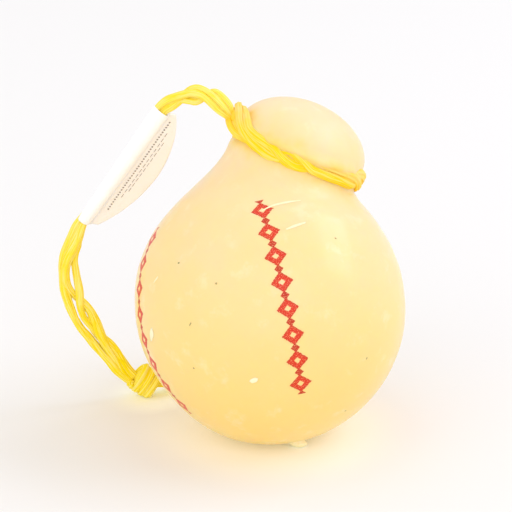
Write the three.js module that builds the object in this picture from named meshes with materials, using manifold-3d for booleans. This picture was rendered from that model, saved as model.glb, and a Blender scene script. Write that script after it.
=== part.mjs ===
// An aged caciocavallo: a pear-shaped cheese with a domed head, standing on its rounded end.
// A yellow cord is tied round the neck. Its free end is braided, stands in an arch, passes
// through a folded paper label and ends in a knot on the ground beside the cheese.
// Millimetres, +Z up, +X to the right, -Y to the front.
// The origin is the middle of the small flat spot that the cheese stands on.

import * as THREE from "three";
import { mergeVertices } from "three/addons/utils/BufferGeometryUtils.js";
import Module from "manifold-3d";

const wasm = await Module();
wasm.setup();

const { degToRad } = THREE.MathUtils;

// cheese
const bulbRadius = 72.4;
const footRadius = 22;            // flat spot worn under the bulb
const leanBack = degToRad(17);    // the upright plane of the cheese leans away from the front
const headTilt = degToRad(23.2);  // in that plane, the head leans to the right
const headNod = degToRad(3.5);    // and nods back towards the front
const headAcross = 16.7;          // middle of the head's rim, from the middle of the bulb
const headUp = 87.3;
const headRadius = 35.7;
const headHeight = 24.3;
const cheeseSides = 48;
const nibAt = new THREE.Vector3(15.4, -26.6, 2.4);   // drip of wax under the bulb
const nibSize = new THREE.Vector3(5, 2.4, 2.1);

// cord round the neck: strands laid together in a flat rope
const neckCordRadius = 33.5;
const neckCordHeight = -6.6;      // along the head's axis, from its rim
const strandRadius = 3;
const strandRise = 3.6;           // how far a strand wanders along and across the rope
const strandSway = 1.2;
const strandCount = 3;
const strandTurns = 2;

// knot that the braid comes out of, at the left of the head
const knotAngle = degToRad(197);
const knotRadius = 38.7;
const knotHeight = -0.9;

// braid
const braidWidth = 8.2;
const braidThickness = 6;
const braidSides = 10;
const braidSteps = 44;

// label: paper folded over the braid, its two halves stuck together
const labelLength = 78;
const labelEndWidth = 11;
const labelMiddleWidth = 26.4;
const labelThickness = 1.2;
const labelWall = 1.1;
const labelSide = new THREE.Vector3(0.63, 0.65, -0.43);   // from the fold to the free edge

// knot at the end of the braid
const endKnotAt = new THREE.Vector3(-70.2, 41.5, 9.2);
const endKnotSlope = degToRad(31);
const tailEnd = new THREE.Vector3(-50, 50, 3.4);
const tailThickness = 6;

const gap = 0.35;                 // left between pieces that touch

const bulbCentre = new THREE.Vector3(0, 0, Math.sqrt(bulbRadius ** 2 - footRadius ** 2));

const finishes = {
  wax: { color: 0xf5e3a8, roughness: 0.3, metalness: 0 },
  cord: { color: 0xf0d81c, roughness: 0.55, metalness: 0 },
  paper: { color: 0xf4f1e4, roughness: 0.85, metalness: 0 },
};

// The braid's route, chosen by hand: out of the knot, over the arch, straight through the
// label, and down in a bow to the ground.
const braidRoute = [
  [-19.7, 18.5, 170.5], [-22.0, 19.7, 173.7], [-25.7, 20.9, 177.0], [-30.7, 22.1, 180.0],
  [-36.8, 23.4, 181.5], [-43.2, 24.6, 180.9], [-49.7, 25.8, 178.1], [-57.5, 27.0, 171.7],
  [-68.5, 28.5, 155.4], [-79.7, 30.0, 139.0], [-91.0, 31.5, 122.5], [-102.4, 33.0, 105.8],
  [-107.1, 33.8, 96.2], [-109.8, 34.5, 86.6], [-110.4, 35.3, 77.0], [-109.7, 36.1, 67.2],
  [-107.6, 36.9, 58.6], [-103.9, 37.6, 49.4], [-98.7, 38.4, 40.3], [-92.5, 39.2, 31.9],
  [-86.0, 40.0, 23.6], [-80.0, 40.7, 16.0], [-74.5, 41.5, 10.1],
].map((point) => new THREE.Vector3(...point));
const labelTop = braidRoute[7];
const labelBottom = braidRoute[11];

// a closed geometry as a solid for joins and cuts
function solidOf(geometry) {
  geometry.deleteAttribute("normal");
  geometry.deleteAttribute("uv");
  const merged = mergeVertices(geometry, 1e-4);
  const corners = merged.index.array;
  const kept = [];
  for (let i = 0; i < corners.length; i += 3) {
    const [a, b, c] = corners.slice(i, i + 3);
    if (a !== b && b !== c && c !== a) kept.push(a, b, c);
  }
  return new wasm.Manifold(new wasm.Mesh({
    numProp: 3,
    vertProperties: new Float32Array(merged.attributes.position.array),
    triVerts: new Uint32Array(kept),
  }));
}

function geometryOf(solid) {
  const mesh = solid.getMesh();
  const geometry = new THREE.BufferGeometry();
  geometry.setAttribute("position", new THREE.BufferAttribute(mesh.vertProperties, 3));
  geometry.setIndex(new THREE.BufferAttribute(mesh.triVerts, 1));
  geometry.computeVertexNormals();
  return geometry;
}

function joined(solids) {
  return solids.reduce((whole, piece) => whole.add(piece));
}

// across and up lie in the leaned plane through the bulb's middle, away points out of its back
function leaned(across, up, away) {
  return new THREE.Vector3(
    across,
    up * Math.sin(leanBack) + away * Math.cos(leanBack),
    up * Math.cos(leanBack) - away * Math.sin(leanBack),
  ).add(bulbCentre);
}

// a point of a circle that is tilted to the right and nods to the front, or level above it
function onCircle([across, up, away, , tilt, nod], right, back, height) {
  const lifted = height * Math.cos(nod) + back * Math.sin(nod);
  return leaned(
    across + right * Math.cos(tilt) + lifted * Math.sin(tilt),
    up - right * Math.sin(tilt) + lifted * Math.cos(tilt),
    away + back * Math.cos(nod) - height * Math.sin(nod),
  );
}

// round the neck: angle 0 is at the right, and height runs along the head's axis from its rim
function aroundNeck(angle, radius, height) {
  const rim = [headAcross, headUp, 0, headRadius, headTilt, headNod];
  return onCircle(rim, radius * Math.cos(angle), radius * Math.sin(angle), height);
}

// Cross-sections of the cheese from the bottom up. Each is a circle: across, up and away place
// its middle, then come its radius, its tilt to the right and its nod to the front.
// The first and last only steer the curve and are not reached.
function sections() {
  const bulb = [-15, 0, 15, 30, 45, 60, 75, 90].map((degrees) => {
    const angle = degToRad(degrees);
    return [0, -bulbRadius * Math.cos(angle), 0, bulbRadius * Math.sin(angle), 0, 0];
  });
  const shoulder = [
    [-0.5, 18.6, 0, 70.6, 0, 0],
    [-0.6, 30.5, 0, 66.9, 0, 0],
    [1.2, 40.1, 0, 62.3, degToRad(3), 0],
    [3.4, 51.4, 0, 54.2, degToRad(5), 0],
    [6.1, 59.4, 0.2, 47, degToRad(8), degToRad(1)],
    [8.9, 66.6, 0.5, 40.5, degToRad(12.7), degToRad(2)],
    [11.1, 72, 0.8, 37.3, degToRad(18), degToRad(3)],
  ];
  const onHeadAxis = (height, radius) => [
    headAcross + height * Math.cos(headNod) * Math.sin(headTilt),
    headUp + height * Math.cos(headNod) * Math.cos(headTilt),
    -height * Math.sin(headNod),
    radius, headTilt, headNod,
  ];
  const neck = [[-12.8, 35.3], [-11, 31.9], [-8.5, 30.3], [-5, 30.7], [-2.2, 33.5]].map(
    ([height, radius]) => onHeadAxis(height, radius),
  );
  const head = [0, 15, 30, 45, 60, 75, 90, 105].map((degrees) => {
    const angle = degToRad(degrees);
    return onHeadAxis(headHeight * Math.sin(angle), headRadius * Math.cos(angle));
  });
  return [...bulb, ...shoulder, ...neck, ...head];
}

// a smooth curve through rows of numbers, with a few steps between each two
function smoothRows(rows, steps) {
  const at = [0];
  for (let i = 1; i < rows.length; i++) {
    at.push(at[i - 1] + Math.hypot(...rows[i].map((value, k) => value - rows[i - 1][k])));
  }
  const slope = (i, k) => (rows[i + 1][k] - rows[i - 1][k]) / (at[i + 1] - at[i - 1]);
  const smooth = [];
  for (let i = 1; i < rows.length - 2; i++) {
    const span = at[i + 1] - at[i];
    for (let step = 0; step < steps; step++) {
      const t = step / steps;
      smooth.push(rows[i].map((start, k) => {
        const end = rows[i + 1][k];
        return start * (1 + 2 * t) * (1 - t) ** 2 + end * t * t * (3 - 2 * t)
          + slope(i, k) * span * t * (1 - t) ** 2 + slope(i + 1, k) * span * t * t * (t - 1);
      }));
    }
  }
  smooth.push(rows.at(-2));
  return smooth;
}

// the cheese as a turned shape bent along its leaning middle line
function cheeseBody(extra, sides, steps) {
  const rings = smoothRows(sections(), steps);
  const profile = rings.map(([, , , radius], i) => {
    const isPole = i === 0 || i === rings.length - 1;
    return new THREE.Vector2(isPole ? 0 : radius + extra, i);
  });
  const geometry = new THREE.LatheGeometry(profile, sides);
  const position = geometry.attributes.position;
  for (let i = 0; i < position.count; i++) {
    const ring = rings[Math.round(position.getY(i))];
    const point = onCircle(ring, position.getX(i), -position.getZ(i), 0);
    position.setXYZ(i, point.x, point.y, point.z);
  }
  return solidOf(geometry);
}

function ellipsoid(centre, size, across, down) {
  const geometry = new THREE.SphereGeometry(1, across, down);
  geometry.scale(size.x, size.y, size.z);
  geometry.translate(centre.x, centre.y, centre.z);
  return solidOf(geometry);
}

// a closed ring of cord with its axis along a direction
function loop(centre, axis, radius, thickness, around) {
  const geometry = new THREE.TorusGeometry(radius, thickness, 8, around);
  const ringAxis = new THREE.Vector3(0, 0, 1);
  const turn = new THREE.Quaternion().setFromUnitVectors(ringAxis, axis.clone().normalize());
  geometry.applyQuaternion(turn);
  geometry.translate(centre.x, centre.y, centre.z);
  return solidOf(geometry);
}

// the route with both ends drawn out, for cutting the sockets that the braid sits in
function drawnOut(points, extra) {
  const pull = (end, next) => end.clone().add(end.clone().sub(next).setLength(extra));
  const between = points.slice(1, -1);
  return [pull(points[0], points[1]), ...between, pull(points.at(-1), points.at(-2))];
}

function tubeAlong(points, width, thickness, steps) {
  const outline = new THREE.Shape();
  outline.absellipse(0, 0, thickness / 2, width / 2, 0, 2 * Math.PI);
  const section = new THREE.Shape(outline.getSpacedPoints(braidSides).slice(0, braidSides));
  return solidOf(new THREE.ExtrudeGeometry(section, {
    steps,
    extrudePath: new THREE.CatmullRomCurve3(points),
    bevelEnabled: false,
  }));
}

function braidSolid() {
  return tubeAlong(braidRoute, braidWidth, braidThickness, braidSteps);
}

function braidSocket() {
  const route = drawnOut(braidRoute, 2 * gap);
  return tubeAlong(route, braidWidth + 2 * gap, braidThickness + 2 * gap, braidSteps);
}

function cheeseSolid() {
  const below = new THREE.BoxGeometry(4 * bulbRadius, 4 * bulbRadius, bulbRadius);
  below.translate(0, 0, -bulbRadius / 2);
  return cheeseBody(0, cheeseSides, 2).add(ellipsoid(nibAt, nibSize, 16, 10)).subtract(solidOf(below));
}

class NeckStrand extends THREE.Curve {
  constructor(number) {
    super();
    this.phase = (number / strandCount) * 2 * Math.PI;
  }

  getPoint(t, target = new THREE.Vector3()) {
    const angle = t * 2 * Math.PI;
    const twist = strandTurns * angle + this.phase;
    return target.copy(aroundNeck(
      angle,
      neckCordRadius + strandSway * Math.cos(twist),
      neckCordHeight + strandRise * Math.sin(twist),
    ));
  }
}

// the strands round the neck, the hitch over them and the collar that the braid comes out of
function neckCordSolid() {
  const strands = [];
  for (let i = 0; i < strandCount; i++) {
    strands.push(solidOf(new THREE.TubeGeometry(new NeckStrand(i), 48, strandRadius, 6, true)));
  }
  const knotCentre = aroundNeck(knotAngle, knotRadius, knotHeight);
  const hitchAt = aroundNeck(knotAngle, neckCordRadius + 0.6, neckCordHeight + 1.6);
  const alongRope = aroundNeck(knotAngle + Math.PI / 2, 1, 0).sub(aroundNeck(0, 0, 0));
  const outOfKnot = braidRoute[1].clone().sub(braidRoute[0]).normalize();
  const towardsFront = new THREE.Vector3(0.2, -0.5, 0.1);
  const collarAxis = outOfKnot.clone().add(towardsFront);
  const collarAt = braidRoute[0].clone().add(new THREE.Vector3(0.8, 0, 0));
  const hitch = loop(hitchAt, alongRope, 6.2, 2.6, 16);
  const heart = ellipsoid(knotCentre, new THREE.Vector3(6.2, 6, 6.4), 12, 8);
  const collar = loop(collarAt, collarAxis, 4.7, 2.6, 16);
  const clearOfCheese = cheeseBody(2 * gap, 32, 1);
  return joined([...strands, hitch, heart, collar]).subtract(clearOfCheese).subtract(braidSocket());
}

function labelSolid() {
  const down = labelBottom.clone().sub(labelTop).normalize();
  const side = labelSide.clone().sub(down.clone().multiplyScalar(labelSide.dot(down))).normalize();
  const face = down.clone().cross(side);
  const bulge = labelMiddleWidth - labelEndWidth;
  const arcRadius = ((labelLength / 2) ** 2 + bulge ** 2) / (2 * bulge);
  const halfAngle = Math.asin(labelLength / 2 / arcRadius);
  const outline = new THREE.Shape();
  outline.moveTo(0, 0);
  outline.lineTo(labelLength, 0);
  outline.absarc(labelLength / 2, labelMiddleWidth - arcRadius, arcRadius,
    Math.PI / 2 - halfAngle, Math.PI / 2 + halfAngle);
  const flap = new THREE.ExtrudeGeometry(outline, {
    depth: labelThickness,
    bevelEnabled: false,
    curveSegments: 16,
  });
  flap.translate(0, 0, -labelThickness / 2);
  flap.applyMatrix4(new THREE.Matrix4().makeBasis(down, side, face).setPosition(labelTop));
  const foldEnd = labelTop.clone().addScaledVector(down, labelLength);
  const fold = [labelTop, ...braidRoute.slice(8, 11), foldEnd];
  const wall = 2 * (gap + labelWall);
  const sleeve = tubeAlong(fold, braidWidth + wall, braidThickness + wall, 6);
  return solidOf(flap).add(sleeve).subtract(braidSocket());
}

// two fat wraps side by side round a heart, with a short tail on the ground
function endKnotSolid() {
  const across = new THREE.Vector3(-Math.sin(endKnotSlope), 0, Math.cos(endKnotSlope));
  const along = new THREE.Vector3(Math.cos(endKnotSlope), 0, Math.sin(endKnotSlope));
  const turned = new THREE.Matrix4().makeBasis(along, across.clone().cross(along), across);
  const wrapRadius = 6.1;
  const wrapThickness = 2.9;
  const wrapStretch = 1.2;        // the wraps are longer along the slope
  const wrapApart = 5.2;
  const wraps = [-0.5, 0.5].map((side) => {
    const wrap = new THREE.TorusGeometry(wrapRadius, wrapThickness, 8, 20);
    wrap.scale(wrapStretch, 1, 1);
    wrap.applyMatrix4(turned);
    wrap.translate(...endKnotAt.clone().addScaledVector(across, side * wrapApart));
    return solidOf(wrap);
  });
  const heart = ellipsoid(endKnotAt, new THREE.Vector3(10, 6.5, 6.6), 18, 10);
  const tailFrom = endKnotAt.clone().add(new THREE.Vector3(4, 2, -3));
  const tail = tubeAlong([tailFrom, tailEnd], tailThickness, tailThickness, 1);
  return joined([...wraps, heart, tail]).subtract(braidSocket());
}

const part = new THREE.Group();

function addPiece(name, solid, finish) {
  const piece = new THREE.Mesh(geometryOf(solid), new THREE.MeshStandardMaterial(finish));
  piece.name = name;
  part.add(piece);
}

addPiece("cheese", cheeseSolid(), finishes.wax);
addPiece("neck_cord", neckCordSolid(), finishes.cord);
addPiece("braid", braidSolid(), finishes.cord);
addPiece("label", labelSolid(), finishes.paper);
addPiece("end_knot", endKnotSolid(), finishes.cord);

export default part;
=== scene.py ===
import bisect
import math
import bpy
import bmesh
from mathutils import Matrix, Vector, noise
from mathutils.bvhtree import BVHTree


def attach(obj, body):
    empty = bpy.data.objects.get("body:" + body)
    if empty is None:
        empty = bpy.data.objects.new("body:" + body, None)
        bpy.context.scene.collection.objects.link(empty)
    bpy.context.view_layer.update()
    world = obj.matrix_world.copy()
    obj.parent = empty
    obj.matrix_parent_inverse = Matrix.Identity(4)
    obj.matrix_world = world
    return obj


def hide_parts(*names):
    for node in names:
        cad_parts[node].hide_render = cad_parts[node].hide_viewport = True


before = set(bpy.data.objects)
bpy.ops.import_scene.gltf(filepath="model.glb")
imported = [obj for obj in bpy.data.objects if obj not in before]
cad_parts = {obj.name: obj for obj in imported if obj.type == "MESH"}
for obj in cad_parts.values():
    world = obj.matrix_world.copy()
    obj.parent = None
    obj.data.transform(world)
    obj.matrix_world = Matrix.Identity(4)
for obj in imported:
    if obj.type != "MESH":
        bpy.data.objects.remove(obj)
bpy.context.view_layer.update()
print("packed model loaded")

# Pieces are modelled in millimetres and made metres when they are finished.
mm = 0.001

# The cheese's own measures, as in the CAD model.
cheese = {
    "bulbRadius": 72.4,
    "footRadius": 22,
    "leanBack": math.radians(17),
    "headTilt": math.radians(23.2),
    "headNod": math.radians(3.5),
    "headAcross": 16.7,
    "headUp": 87.3,
    "headRadius": 35.7,
    "headHeight": 24.3,
    "around": 224,          # mesh columns and rows
    "rows": 190,
    "unevenness": 0.3,      # mm, soft hollows of a hand-shaped cheese
    "unevennessSize": 34,   # mm
    # where the cheese has sagged or swollen: direction from the bulb's middle, mm, and how wide
    "sags": [(Vector((-0.73, -0.22, -0.65)), -2.6, 0.5), (Vector((1, -0.1, -0.1)), 0.5, 0.6),
             (Vector((0.22, -0.33, -0.91)), 0.4, 0.4)],
    # wax that has gathered over the rope: degrees round the neck, height and mm
    "collar": [(-180, 4, 0.4), (-168, 3.6, 1.6), (-155, 2.4, 2.2), (-145, 0, 1.9), (-125, -2.6, 1.6),
               (-100, -2, 1.5), (-80, -2, 1.9), (-60, -1.6, 2.1), (-35, -1, 2), (-22, -5, 1.9),
               (-10, -6.5, 2), (8, -5, 1.5), (40, -2, 0.5), (170, -2.5, 0.2), (180, 4, 0.4)],
    "collarReach": 3.1,     # mm
}
bulbCentre = Vector((0, 0, math.sqrt(cheese["bulbRadius"] ** 2 - cheese["footRadius"] ** 2)))

# The photograph's view: a long lens, from a little above.
cameraView = {
    "elevation": math.radians(20),
    "distance": 1100,
    "lens": 144.17,
    "sensor": 36,
    "imageSize": 512,
    "bulbPixel": (269.5, 309.0),   # where the middle of the bulb falls
}


def makeCamera():
    data = bpy.data.cameras.new("camera")
    data.lens, data.sensor_width = cameraView["lens"], cameraView["sensor"]
    camera = bpy.data.objects.new("camera", data)
    bpy.context.collection.objects.link(camera)
    lift = cameraView["elevation"]
    ahead = Vector((0, math.cos(lift), -math.sin(lift)))
    up = Vector((0, math.sin(lift), math.cos(lift)))
    size = cameraView["imageSize"]
    perPixel = cameraView["distance"] * cameraView["sensor"] / cameraView["lens"] / size
    right = (cameraView["bulbPixel"][0] - size / 2) * perPixel
    down = (cameraView["bulbPixel"][1] - size / 2) * perPixel
    eye = bulbCentre - ahead * cameraView["distance"] - Vector((right, 0, 0)) + up * down
    camera.location = eye * mm
    camera.rotation_euler = (math.pi / 2 - lift, 0, 0)
    bpy.context.scene.camera = camera


makeCamera()
print("camera ready")


# Small tools for shapes.

# A smooth curve through rows of numbers, as a function of 0 to 1 by distance.
# The first and last row only steer it.
def smoothCurve(rows):
    at = [0.0]
    for a, b in zip(rows, rows[1:]):
        at.append(at[-1] + math.dist(a, b))

    def slope(i, k):
        return (rows[i + 1][k] - rows[i - 1][k]) / (at[i + 1] - at[i - 1])

    def value(t):
        where = at[1] + min(max(t, 0), 1) * (at[-2] - at[1])
        i = min(max(bisect.bisect_right(at, where) - 1, 1), len(rows) - 3)
        span = at[i + 1] - at[i]
        f = (where - at[i]) / span
        return [
            rows[i][k] * (1 + 2 * f) * (1 - f) ** 2
            + rows[i + 1][k] * f * f * (3 - 2 * f)
            + slope(i, k) * span * f * (1 - f) ** 2
            + slope(i + 1, k) * span * f * f * (f - 1)
            for k in range(len(rows[0]))
        ]

    return value


# The same through points that are all reached.
def smoothRoute(points):
    points = [Vector(p) for p in points]
    before = points[0] * 2 - points[1]
    after = points[-1] * 2 - points[-2]
    curve = smoothCurve([before, *points, after])
    return lambda t: Vector(curve(t))


# Values between rows of (place, value, ...), on straight lines from row to row.
def between(rows, place):
    places = [row[0] for row in rows]
    if place <= places[0]:
        return rows[0][1:]
    if place >= places[-1]:
        return rows[-1][1:]
    i = bisect.bisect_right(places, place) - 1
    f = (place - places[i]) / (places[i + 1] - places[i])
    return [a + (b - a) * f for a, b in zip(rows[i][1:], rows[i + 1][1:])]


def leaned(across, up, away):
    lean = cheese["leanBack"]
    return bulbCentre + Vector((
        across,
        up * math.sin(lean) + away * math.cos(lean),
        up * math.cos(lean) - away * math.sin(lean),
    ))


def onCircle(ring, right, back, height):
    across, up, away, _, tilt, nod = ring
    lifted = height * math.cos(nod) + back * math.sin(nod)
    return leaned(
        across + right * math.cos(tilt) + lifted * math.sin(tilt),
        up - right * math.sin(tilt) + lifted * math.cos(tilt),
        away + back * math.cos(nod) - height * math.sin(nod),
    )


# Round the neck: angle 0 is at the right, height runs along the head's axis from its rim.
def aroundNeck(angle, radius, height):
    rim = (cheese["headAcross"], cheese["headUp"], 0, cheese["headRadius"], cheese["headTilt"],
           cheese["headNod"])
    return onCircle(rim, radius * math.cos(angle), radius * math.sin(angle), height)


def neckPoint(degrees, height, radius):
    return aroundNeck(math.radians(degrees), radius, height)


# Circles that the cheese runs through, from the bottom up: across, up, away, radius, tilt, nod.
def cheeseSections():
    bulb, tilt, nod = cheese["bulbRadius"], cheese["headTilt"], cheese["headNod"]
    rows = []
    for degrees in range(-15, 91, 15):
        angle = math.radians(degrees)
        rows.append((0, -bulb * math.cos(angle), 0, bulb * math.sin(angle), 0, 0))
    rows += [
        (-0.5, 18.6, 0, 70.6, 0, 0),
        (-0.6, 30.5, 0, 66.9, 0, 0),
        (1.2, 40.1, 0, 62.3, math.radians(3), 0),
        (3.4, 51.4, 0, 54.2, math.radians(5), 0),
        (6.1, 59.4, 0.2, 47, math.radians(8), math.radians(1)),
        (8.9, 66.6, 0.5, 40.5, math.radians(12.7), math.radians(2)),
        (11.1, 72, 0.8, 37.3, math.radians(18), math.radians(3)),
    ]

    def onHeadAxis(height, radius):
        up = height * math.cos(nod)
        return (cheese["headAcross"] + up * math.sin(tilt), cheese["headUp"] + up * math.cos(tilt),
                -height * math.sin(nod), radius, tilt, nod)

    # wax has filled the groove round the rope
    neck = [(-11.3, 35.9), (-8.5, 35.1), (-5, 35.3), (-2.2, 35.7)]
    rows += [onHeadAxis(height, radius) for height, radius in neck]
    for degrees in range(0, 106, 15):
        angle = math.radians(degrees)
        height, radius = cheese["headHeight"], cheese["headRadius"]
        rows.append(onHeadAxis(height * math.sin(angle), radius * math.cos(angle)))
    return rows


cheeseRing = smoothCurve(cheeseSections())


# A point of the cheese's skin: rise is 0 at the bottom and 1 at the top of the head.
def onSkin(rise, angle):
    ring = cheeseRing(rise)
    radius = max(ring[3], 0)
    point = onCircle(ring, radius * math.cos(angle), radius * math.sin(angle), 0)
    outward = (point - onCircle(ring, 0, 0, 0)).normalized()
    size = cheese["unevennessSize"]
    hollow = noise.noise(point / size) + 0.35 * noise.noise(point * 2.7 / size)
    push = hollow * cheese["unevenness"]
    ray = (point - bulbCentre).normalized()
    for direction, swell, reach in cheese["sags"]:
        push += swell * math.exp(-((ray - direction.normalized()).length / reach) ** 2)
    height, _ = neckPlace(point)
    if -12 < height < 10:
        middle, swell = between(cheese["collar"], neckDegrees(point))
        push += swell * math.exp(-((height - middle) / cheese["collarReach"]) ** 2)
    point += outward * push
    point.z = max(point.z, 0)
    return point


# How far a point lies along the head's axis from its rim, and off that axis.
def neckPlace(point):
    rim = aroundNeck(0, 0, 0)
    axis = (aroundNeck(0, 0, 1) - rim).normalized()
    height = (point - rim).dot(axis)
    return height, (point - rim - axis * height).length


def neckDegrees(point):
    rim = aroundNeck(0, 0, 0)
    right = aroundNeck(0, 1, 0) - rim
    back = aroundNeck(math.pi / 2, 1, 0) - rim
    return math.degrees(math.atan2((point - rim).dot(back), (point - rim).dot(right)))


# Red stamps stand in columns that run out from one pole of the bulb.
stamps = {
    "pole": Vector((0.2111, -0.3646, -0.9069)),
    "front": Vector((0.114, -0.9116, 0.3931)),     # the column that faces the camera passes here
    # degrees of each column, and how far it is moved towards the pole, in mm
    "columns": [(0, 0), (78, 0), (176, 0), (268, 16)],
    "from": 64.0,      # mm from the pole
    "to": 173.0,
    "pitch": 13.6,     # mm from one large diamond to the next
    "width": 5.8,      # half the width of a large diamond
    "length": 5.4,     # half its length
    "stroke": 0.38,    # share of the large diamond's half width that is red
    "small": 2.4,      # half the size of a small diamond
}


# Places on the skin for the stamps, in mm: across from the nearest column, and from the pole.
def markStamps(bm):
    layer = bm.loops.layers.uv.new("stamps")
    pole = stamps["pole"].normalized()
    ahead = (stamps["front"] - pole * stamps["front"].dot(pole)).normalized()
    left = pole.cross(ahead)

    def turn(point):
        ray = point - bulbCentre
        return math.atan2(ray.dot(left), ray.dot(ahead))

    def apart(a, b):
        return (a - b + math.pi) % (2 * math.pi) - math.pi

    for face in bm.faces:
        middle = turn(face.calc_center_median())
        degrees, moved = min(stamps["columns"], key=lambda c: abs(apart(middle, math.radians(c[0]))))
        column = math.radians(degrees)
        for loop in face.loops:
            ray = loop.vert.co - bulbCentre
            reach = math.acos(max(-1, min(1, ray.normalized().dot(pole))))
            across = apart(turn(loop.vert.co), column) * ray.length * math.sin(reach)
            loop[layer].uv = (across, reach * cheese["bulbRadius"] + moved)


# Oil and dye from the rope, with painted golden shade along the rope's edges: a band round the neck,
# and drops of (degrees round the neck, height, size in mm, strength).
ropeStainAndShade = {
    "height": -6.2,
    "reach": 7.0,
    "drops": [(-154, 4.5, 5, 1.0), (-147, 2.0, 5, 1.0), (-138, 0, 4.5, 0.9), (-119, -0.5, 3.5, 0.7),
              (-91, 0, 4.5, 0.9), (-60, -11, 4, 0.5), (-130, -13.5, 3, 0.5)],
}


# painted golden shade along the rope, together with its oil stains
def ropeStainAndShadeAt(point):
    height, off = neckPlace(point)
    if off > 48:
        return 0
    oilAndShade = math.exp(-((height - ropeStainAndShade["height"]) / ropeStainAndShade["reach"]) ** 2)
    for degrees, height, size, strength in ropeStainAndShade["drops"]:
        away = (point - neckPoint(degrees, height, 36)).length
        oilAndShade = max(oilAndShade, strength * math.exp(-(away / size) ** 2))
    return oilAndShade


def cheeseMesh():
    bm = bmesh.new()
    tint = bm.verts.layers.float.new("ropeTintAndShade")
    bmesh.ops.create_uvsphere(bm, u_segments=cheese["around"], v_segments=cheese["rows"], radius=1)
    for vert in bm.verts:
        rise = math.acos(max(-1, min(1, -vert.co.z))) / math.pi
        vert.co = onSkin(rise, math.atan2(vert.co.y, vert.co.x))
        vert[tint] = ropeStainAndShadeAt(vert.co)
    bmesh.ops.recalc_face_normals(bm, faces=bm.faces)
    markStamps(bm)
    return bm


# Materials.

def hexColour(code, alpha=1.0):
    parts = [int(code[i:i + 2], 16) / 255 for i in (1, 3, 5)]
    linear = [p / 12.92 if p <= 0.04045 else ((p + 0.055) / 1.055) ** 2.4 for p in parts]
    return (*linear, alpha)


# The scale of a pattern on Object coordinates whose features are this many mm across.
def patternScale(size):
    return 1 / (size * mm)


def newMaterial(name):
    material = bpy.data.materials.new(name)
    material.use_nodes = True
    material.node_tree.nodes.clear()
    return material


# Adds a node and gives one of its outputs; inputs are numbers, colours or other nodes' outputs.
def addNode(material, kind, settings=None, inputs=None, output=0):
    node = material.node_tree.nodes.new("ShaderNode" + kind)
    for name, value in (settings or {}).items():
        setattr(node, name, value)
    for name, value in (inputs or {}).items():
        if isinstance(value, bpy.types.NodeSocket):
            material.node_tree.links.new(value, node.inputs[name])
        else:
            node.inputs[name].default_value = value
    return node.outputs[output] if len(node.outputs) else None


# Settings that several nodes share.
multiply, clamped = {"operation": "MULTIPLY"}, {"operation": "MULTIPLY", "use_clamp": True}
add, subtract, absolute = {"operation": "ADD"}, {"operation": "SUBTRACT"}, {"operation": "ABSOLUTE"}
blended, softly = {"data_type": "RGBA"}, {"interpolation_type": "SMOOTHSTEP"}
mixed = 2    # the colour output of a Mix node, and its colour inputs are 6 and 7


def finishPiece(name, bm, material, smooth=True):
    bmesh.ops.scale(bm, vec=(mm, mm, mm), verts=bm.verts)
    mesh = bpy.data.meshes.new(name)
    bm.to_mesh(mesh)
    bm.free()
    mesh.materials.append(material)
    for polygon in mesh.polygons:
        polygon.use_smooth = smooth
    piece = bpy.data.objects.new(name, mesh)
    bpy.context.collection.objects.link(piece)
    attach(piece, "root")
    return piece


rind = {
    # painted shade low down and painted light at the head, over the curd's colour
    "foot": "#FFD468",      # the curd's colour low down and at the head
    "head": "#FFE0C2",
    "cloud": "#FFDA8C",
    "cloudSize": 36,        # mm
    "bloom": "#FFF0CE",
    "bloomSize": 12,
    # rope oil stain, which also serves as painted golden shade along the rope
    "oilAndShade": "#FFD03A",
    "oilAndShadeSize": 11,
    "grainSize": 2.4,
    "roughness": 0.42,
    "depth": 0.55,          # how much light goes into the curd, and how many mm far
    "depthSize": 6,
    "gloss": 0.13,          # roughness of the wax
    "shine": (0.5, 0.2),    # weight of the wax coat on the bulb and on the dull head
    "ink": "#DC2014",
    "inkEdge": "#C62010",
    "inkHalo": "#FF9C70",
    "raggedSize": 0.9,      # mm, ink run into the rind at the stamps' edges
    "wornSize": 0.45,       # mm, specks where the ink has rubbed off
}


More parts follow.
